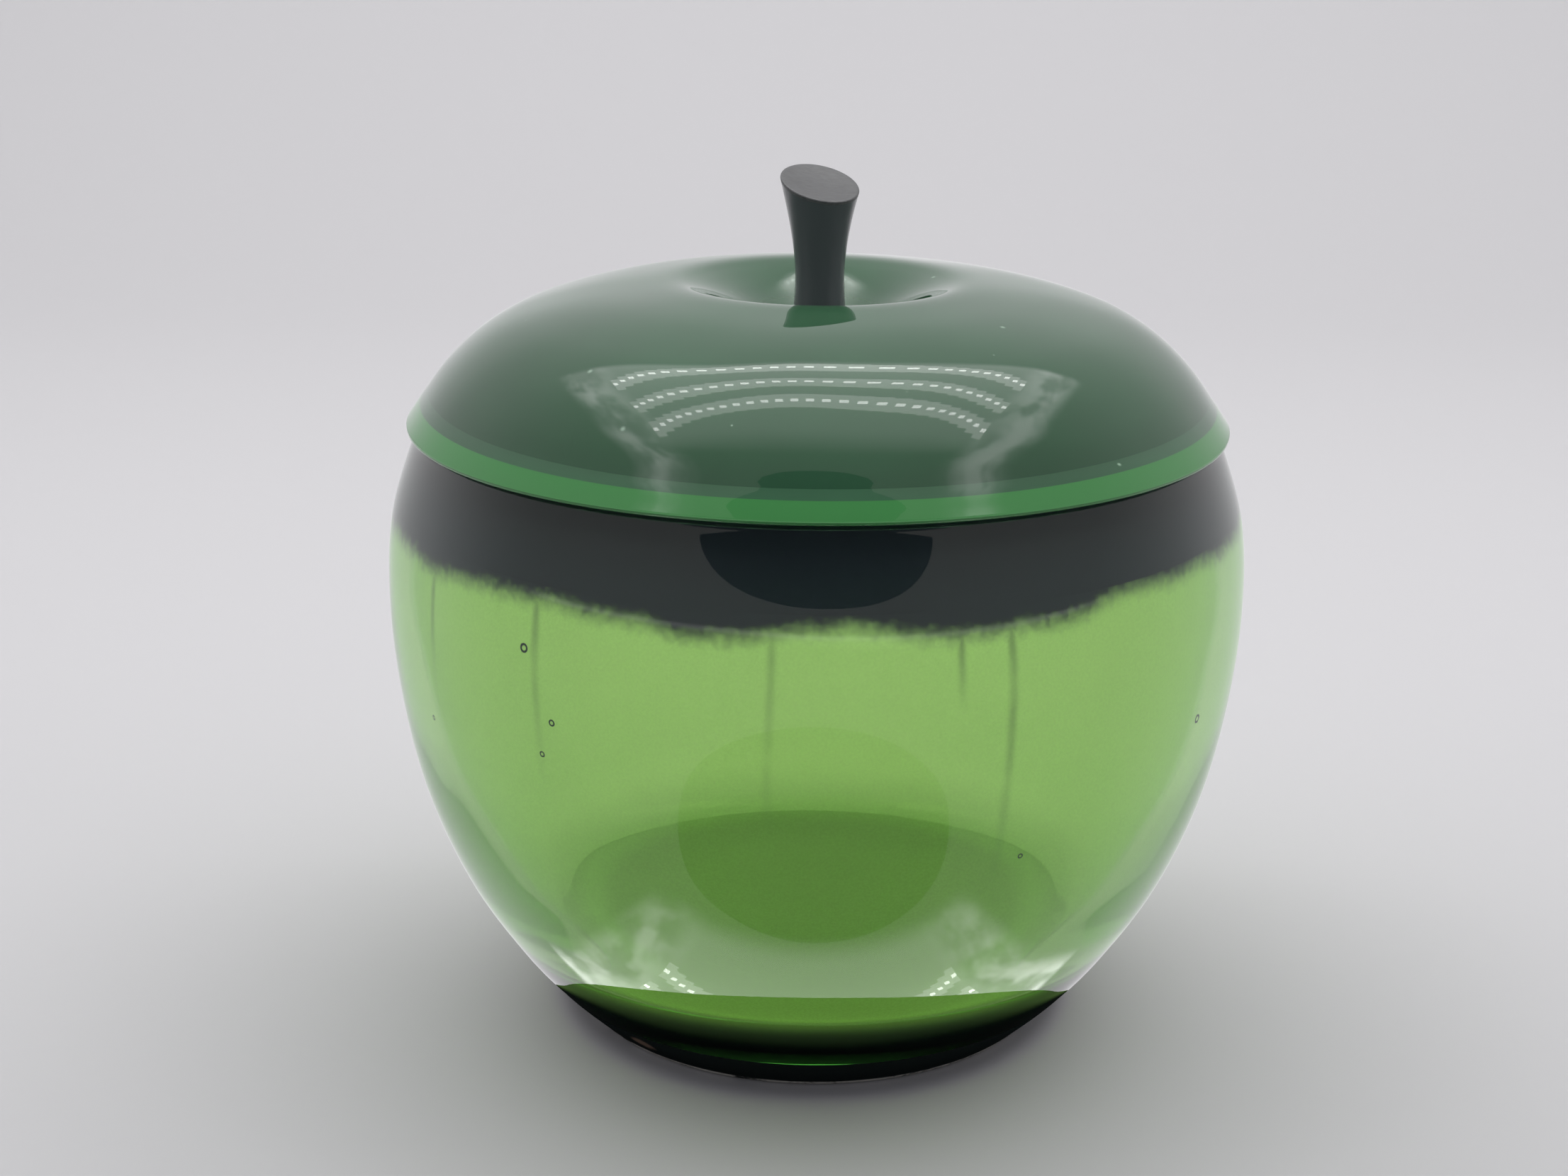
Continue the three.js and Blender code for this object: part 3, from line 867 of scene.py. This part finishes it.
def makeTent():
    world = bpy.data.worlds.new("paleTent")
    bpy.context.scene.world = world
    world.use_nodes = True
    tree = world.node_tree
    background = tree.nodes["Background"]
    background.inputs[0].default_value = (*studioSet["world"], 1)
    split = tree.nodes.new("ShaderNodeSeparateXYZ")
    tree.links.new(tree.nodes.new("ShaderNodeTexCoord").outputs["Generated"], split.inputs[0])
    wall = ramp(tree, split.outputs["Y"], -0.2, 0.6, studioSet["front"], studioSet["back"])
    horizon = ramp(tree, math2(tree, "ABSOLUTE", split.outputs["Z"]), 0.03, 0.0, 0.0, 1.2)
    horizon = math2(tree, "MULTIPLY", horizon, ramp(tree, split.outputs["Y"], -0.1, -0.4))
    tree.links.new(math2(tree, "ADD", wall, horizon), background.inputs[1])
    dark, tree, glow = glowMaterial("darkCard", 1.0, False)
    glow.inputs["Color"].default_value = (*studioSet["card"], 1)
    height, (cardY, cardZ) = studioSet["height"], studioSet["cardPlace"]
    # the second turn is the same tent as a glossy table would show it, seen only by reflections
    for side, label in ((1, ""), (-1, "Below")):
        lit = side > 0
        near, boost = (-0.10, 1.0) if lit else (-0.25, 1.4)
        cloth = ceilingMaterial("ceilingCloth" + label, lit, near, boost)
        row = glowMaterial("rowGlow" + label, studioSet["rowGlow"], lit)[0]
        led = glowMaterial("ledGlow" + label, studioSet["ledGlow"], lit)[0]
        things = [stageMesh("ceilingBox" + label, panelMesh(1.0, 0.86, (0, 0, height * side)), cloth),
                  stageMesh("softRows" + label, ledMesh((height - 0.01) * side, 0.023, 0.08), row),
                  stageMesh("ledRows" + label, ledMesh((height - 0.02) * side, 0.012, 0.016), led)]
        bm = bmesh.new()
        bmesh.ops.create_circle(bm, cap_ends=True, segments=64, radius=1)
        bmesh.ops.scale(bm, vec=(*studioSet["cardSize"], 1), verts=bm.verts)
        things.append(stageMesh("darkOpening" + label, bm, dark,
                                (0, cardY, cardZ * side), (0, 0, 0.08 * side)))
        if side < 0:
            things.append(makePaintedJarImage())
        for thing in things:
            thing.visible_camera = False
            if side < 0:
                thing.visible_shadow = False
                thing.visible_diffuse = False
                thing.visible_transmission = False
    # one lamp washes the wall, one shines into the jar from behind
    for name, size, power, place, target in (
            ("wallWash", (2.4, 0.3), studioSet["wallWash"], (0, 0.3, 0.95), (0, 0.95, 0)),
            ("backGlow", (0.3, 0.15), studioSet["backGlow"], (0, 0.38, 0.12), (0, 0, 0.05))):
        light = bpy.data.lights.new(name, "AREA")
        light.shape, light.size, light.size_y, light.energy = "RECTANGLE", *size, power
        lamp = bpy.data.objects.new(name, light)
        bpy.context.scene.collection.objects.link(lamp)
        lamp.location = place
        lamp.rotation_euler = (Vector(target) - lamp.location).to_track_quat("-Z", "Y").to_euler()
        lamp.visible_camera = lamp.visible_glossy = lamp.visible_transmission = False
        if name == "backGlow":
            enamelOnly = bpy.data.collections.new("enamelOnly")
            enamelOnly.objects.link(bpy.data.objects["greenCoat"])
            lamp.light_linking.receiver_collection = enamelOnly


cameraSet = {
    "lens": 55.38,
    "back": 321.05 * mm,
    "up": 157.4 * mm,
    "down": 17.03,  # degrees below level
    "roll": 0.64,
    "shift": -0.0206,
}


def makeCamera():
    view = cameraSet
    data = bpy.data.cameras.new("bench")
    data.lens, data.sensor_width, data.shift_x = view["lens"], 36, view["shift"]
    data.clip_start = 0.01
    camera = bpy.data.objects.new("bench", data)
    bpy.context.scene.collection.objects.link(camera)
    camera.matrix_world = (Matrix.Translation((0, -view["back"], view["up"]))
                           @ Matrix.Rotation(math.radians(90 - view["down"]), 4, "X")
                           @ Matrix.Rotation(math.radians(view["roll"]), 4, "Z"))
    bpy.context.scene.camera = camera


makeSweep()
makeTent()
makeCamera()
bpy.context.scene.view_settings.view_transform = "Standard"
print("studio ready")
